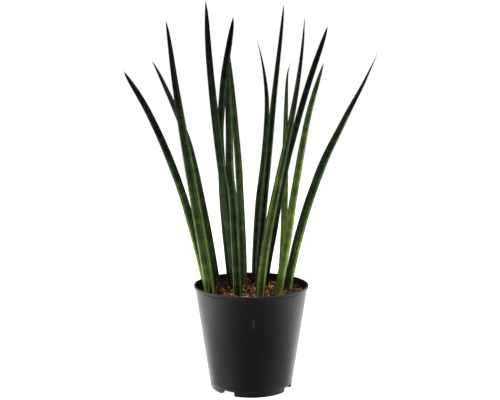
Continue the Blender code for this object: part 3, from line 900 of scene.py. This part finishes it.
class SNAKE_OT_pot(bpy.types.Operator):
    """Build the moulded nursery pot.

    The rim leans 1.7 mm down towards the front: 0.85 mm * (1 + cos(azimuth)), eased in from 20 mm up.
    """

    bl_idname = "snake_plant.make_pot"
    bl_label = "Pot"

    def execute(self, context):
        pot = context.scene.snake_pot
        height, rim = pot.height / MM, pot.rim_radius / MM
        wall, under_lip = pot.wall / MM, (pot.height - pot.lip_depth) / MM

        def outside(z, inset=0.0):
            return wall_radius(pot, z) - inset

        # A fine line round the wall 7 mm up, and even rows below it that let the notches be cut cleanly
        line_at, line_depth, line_half = 7.0, 0.2, 0.45
        line = [(outside(line_at + up * line_half, inset), line_at + up * line_half, 0)
                for up, inset in ((1, 0), (0, line_depth), (-1, 0))]
        lower = [(outside(z), z, 0) for z in np.arange(5.4, 0.9, -0.5)]
        outline = rounded_outline([
            (0.4, FLOOR_TOP, 0),
            (outside(FLOOR_TOP, wall), FLOOR_TOP, 1.6),
            (outside(under_lip, wall), under_lip, 0.3),
            (outside(height, wall), height, 0.5),
            (rim, height, 0.5),
            (rim - 0.2, under_lip + 0.9, 0.6),
            (outside(under_lip - 0.2), under_lip - 0.2, 0.4),
            *line, *lower,
            (FOOT_RADIUS, 0.0, 0.3),
            (FOOT_INNER_RADIUS, 0.0, 0.4),
            (FOOT_INNER_RADIUS, FLOOR_UNDERSIDE, 0),
            (0.4, FLOOR_UNDERSIDE, 0),
        ])
        azimuths = pot_azimuths()
        turn = np.radians(azimuths)
        reach, z = outline[:, :1], outline[:, 1:]
        raised = np.where(z < FLOOR_UNDERSIDE - 0.01, np.maximum(z, foot_height(azimuths)[None]), z)
        lean = RIM_LEAN * (1 + np.cos(turn)) * smoothstep(20, height, raised)
        rings = np.stack([reach * np.sin(turn), -reach * np.cos(turn), raised - lean], -1)
        points, faces = closed_tube(rings, (0, 0, FLOOR_TOP), (0, 0, FLOOR_UNDERSIDE))
        piece = make_piece("pot_shell", points, faces, pot_finish(pot), {}, sharp=38)
        cut_drain_holes(piece)
        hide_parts("pot")
        return {"FINISHED"}


def cut_drain_holes(piece):
    """Cuts a round hole 7.2 mm across through the floor, 31 mm from the axis, behind each notch."""
    sides = 32
    angles = round_angles(sides)
    low, high = FLOOR_UNDERSIDE - 1, FLOOR_TOP + 1
    group = bpy.data.collections.new("drills")
    bpy.context.scene.collection.children.link(group)
    for azimuth in NOTCH_AZIMUTHS:
        turn = math.radians(azimuth)
        x, y = DRAIN_HOLE_RING * math.sin(turn), -DRAIN_HOLE_RING * math.cos(turn)
        circle = DRAIN_HOLE_RADIUS * np.stack([np.cos(angles), np.sin(angles)], -1) + (x, y)
        rings = np.stack([np.insert(circle, 2, z, axis=1) for z in (low, high)])
        drill = mesh_of("drill", *closed_tube(rings, (x, y, low), (x, y, high)))
        group.objects.link(bpy.data.objects.new("drill", drill))
    cut = piece.modifiers.new("drain_holes", "BOOLEAN")
    cut.operand_type = "COLLECTION"
    cut.collection = group
    cut.solver = "EXACT"
    bpy.context.view_layer.update()
    mesh = bpy.data.meshes.new_from_object(piece.evaluated_get(bpy.context.evaluated_depsgraph_get()))
    piece.modifiers.clear()
    piece.data = mesh
    for drill in list(group.objects):
        bpy.data.objects.remove(drill)
    bpy.data.collections.remove(group)


class SNAKE_OT_soil(bpy.types.Operator):
    """Fill the pot with coir mix"""

    bl_idname = "snake_plant.make_soil"
    bl_label = "Soil bed"

    def execute(self, context):
        soil, pot = context.scene.snake_soil, context.scene.snake_pot
        inside = pot.wall / MM + 0.3
        sides, rows = 220, 90
        turn = round_angles(sides)
        edge = wall_radius(pot, SOIL_LEVEL) - inside
        low = FLOOR_TOP + 0.3
        wall_z = np.array([low, 40.0, 70.0, 92.0])
        reach = np.concatenate([wall_radius(pot, wall_z) - inside, edge * np.linspace(1, 0.012, rows)])
        x, y = reach[:, None] * np.cos(turn), reach[:, None] * np.sin(turn)
        top = slice(len(wall_z), None)
        z = np.concatenate([np.repeat(wall_z[:, None], sides, axis=1), ground(x[top], y[top])])
        points, faces = closed_tube(np.stack([x, y, z], -1), (0, 0, low), (0, 0, float(ground(0.0, 0.0))))
        surface = husk_finish(soil, "coir_mix_damp_and_shaded", 700.0)
        # The bed's low tone is damp mix and painted shade in the gaps between the chips
        piece = make_piece("coir_bed", points, faces, surface, {"tone": 0.12})
        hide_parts("soil")
        return {"FINISHED"}


class SNAKE_OT_soil_pieces(bpy.types.Operator):
    """Scatter husk chips, crumbs and curly fibres over the soil"""

    bl_idname = "snake_plant.make_soil_pieces"
    bl_label = "Chips, crumbs and fibres"

    def execute(self, context):
        soil, pot = context.scene.snake_soil, context.scene.snake_pot
        draw = np.random.default_rng(SOIL_SEED)
        surface = husk_finish(soil, "coir_husk_chopped", 900.0)
        for make in (make_chips, make_crumbs, make_fibres):
            make(soil, pot, surface, draw)
        return {"FINISHED"}


class SNAKE_OT_leaves(bpy.types.Operator):
    """Build the fourteen leaves, the scales at their feet and the threads on their points"""

    bl_idname = "snake_plant.make_leaves"
    bl_label = "Leaves"

    def execute(self, context):
        settings = context.scene.snake_leaves
        surface = leaf_finish(settings)
        draw = np.random.default_rng(LEAF_SEED)
        for leaf in LEAVES:
            make_leaf(leaf, settings, surface, draw)
        for scale in SCALES:
            make_scale(scale, surface)
        for awn in AWNS:
            make_awn(awn, surface)
        return {"FINISHED"}


class SNAKE_OT_stage(bpy.types.Operator):
    """Set up the floor, the lights and the camera"""

    bl_idname = "snake_plant.make_stage"
    bl_label = "Floor, lights and camera"

    def execute(self, context):
        stage = context.scene.snake_stage
        make_floor(stage)
        make_room(context.scene, stage)
        make_camera(context.scene, stage)
        context.scene.view_settings.view_transform = "Standard"
        return {"FINISHED"}


def make_floor(stage):
    """A round pale floor of matt paper, a disc of rings, under the pot. It glows least away from the pot."""
    made, node, finish = new_material("floor_paper_matt_painted_glow", {"Roughness": 0.9, "IOR": 1.4})
    here = node("TexCoord").outputs["Object"]
    tooth = node("TexNoise", {"Vector": here, "Scale": 900.0, "Detail": 2.0})
    colour = node("MapRange", (tooth, 0.0, 1.0, 0.80, 0.84))
    away = node("VectorMath", (here,), operation="LENGTH")
    # Painted light: the floor glows fully within 5 cm of the axis, painting out the shadow under and around
    # the pot
    glow = node("MapRange", (away, 0.05, 0.12, 1.0, 0.35))
    finish({"Base Color": colour, "Emission Color": (1, 1, 1, 1), "Emission Strength": glow})
    sides = 96
    turn = round_angles(sides)
    reach = np.array([stage.floor_radius, 1.5, 0.5, 0.15])[:, None]
    rings = np.stack([reach * np.cos(turn), reach * np.sin(turn), 0 * reach * turn], -1).reshape(-1, 3)
    faces = [grid_quads(4, sides), fan(3 * sides, sides, 4 * sides, upwards=True)]
    mesh = mesh_of("floor", np.concatenate([rings, [(0, 0, 0)]]) / MM, faces)
    mesh.materials.append(made)
    floor = add_object("floor", mesh)
    floor.visible_glossy = False


def make_room(scene, stage):
    """A white room, bright at the sides, behind and above, dimmer on the camera's side, seen as plain white.

    Its radiance is (behind * left * side_low + front_low) * upper + above, each mapped from the compass side
    or the height of the direction. left makes the left side a quarter brighter, the low ones dim the room
    well below the horizon, and upper leaves a twentieth of it above the horizon.
    """
    world = bpy.data.worlds.new("studio")
    scene.world = world
    world.use_nodes = True
    world.node_tree.nodes.clear()
    node = partial(add_node, world.node_tree)
    way = node("TexCoord").outputs["Generated"]
    height = node("SeparateXYZ", (way,)).outputs["Z"]
    level = node("VectorMath", (way, (1, 1, 0)), operation="MULTIPLY")
    level = node("VectorMath", (level,), operation="NORMALIZE")
    across = node("SeparateXYZ", (level,)).outputs["X"]
    backwards = node("VectorMath", (level, (-0.1, 1, 0)), operation="DOT_PRODUCT")
    behind, left, side_low, front_low, upper, above = (
        node("MapRange", ends, interpolation_type=rising) for rising, ends in (
            ("SMOOTHSTEP", (backwards, -1.03, 0.05, 0.0, stage.side_light - stage.front_light)),
            ("LINEAR", (across, -0.86, -0.94, 1.0, 1.25)),
            ("LINEAR", (height, -0.56, -0.44, 0.26, 1.0)),
            ("LINEAR", (height, -0.61, -0.575, 0.3 * stage.front_light, stage.front_light)),
            ("LINEAR", (height, -0.10, 0.06, 1.0, 0.05)),
            ("SMOOTHSTEP", (height, 0.35, 0.75, 0.0, 2.0)),
        ))
    walls = node("Math", (behind, left), operation="MULTIPLY")
    walls = node("Math", (walls, side_low, front_low), operation="MULTIPLY_ADD")
    strength = node("Math", (walls, upper, above), operation="MULTIPLY_ADD")
    seen = node("LightPath").outputs["Is Camera Ray"]
    lighting, plain = (node("Background", ((1, 1, 1, 1), value)) for value in (strength, 1.0))
    node("OutputWorld", (node("MixShader", (seen, lighting, plain)),))
    lamp = bpy.data.lights.new("softbox", "AREA")
    lamp.shape = "SQUARE"
    lamp.size = 1.8
    lamp.energy = stage.top_light
    add_object("softbox", lamp).location = (0, -0.1, 1.7)


def make_camera(scene, stage):
    """The camera, 0.72 m in front of the pot, looking slightly down."""
    data = bpy.data.cameras.new("camera")
    data.lens = stage.lens
    data.sensor_width = 36.0
    data.clip_start, data.clip_end = 0.02, 20.0
    scene.camera = add_object("camera", data)
    place = Matrix.Translation((-0.0013, -0.7195, 0.2556))
    scene.camera.matrix_world = place @ Matrix.Rotation(math.pi / 2 - stage.pitch, 4, "X")


class SNAKE_PT_panel(bpy.types.Panel):
    """The plant's pieces, in the order they are built"""

    bl_idname = "SNAKE_PT_panel"
    bl_label = "Snake Plant"
    bl_space_type = "VIEW_3D"
    bl_region_type = "UI"
    bl_category = "Snake Plant"

    def draw(self, context):
        for settings, _, operators in PIECES:
            box = self.layout.box()
            group = getattr(context.scene, settings)
            for key in type(group).__annotations__:
                box.prop(group, key)
            for operator in operators:
                box.operator(operator.bl_idname)


PIECES = (
    ("snake_pot", PotSettings, (SNAKE_OT_pot,)),
    ("snake_soil", SoilSettings, (SNAKE_OT_soil, SNAKE_OT_soil_pieces)),
    ("snake_leaves", LeafSettings, (SNAKE_OT_leaves,)),
    ("snake_stage", StageSettings, (SNAKE_OT_stage,)),
)
CLASSES = (*(group for _, group, _ in PIECES), *(one for _, _, operators in PIECES for one in operators),
           SNAKE_PT_panel)


def register():
    for made in CLASSES:
        bpy.utils.register_class(made)
    for name, group, _ in PIECES:
        setattr(bpy.types.Scene, name, PointerProperty(type=group))


def unregister():
    for name, _, _ in PIECES:
        delattr(bpy.types.Scene, name)
    for made in reversed(CLASSES):
        bpy.utils.unregister_class(made)


def main():
    """Builds every piece in order."""
    register()
    bpy.ops.snake_plant.make_stage()
    bpy.ops.snake_plant.make_pot()
    bpy.ops.snake_plant.make_soil()
    bpy.ops.snake_plant.make_soil_pieces()
    bpy.ops.snake_plant.make_leaves()


if __name__ == "__main__":
    main()
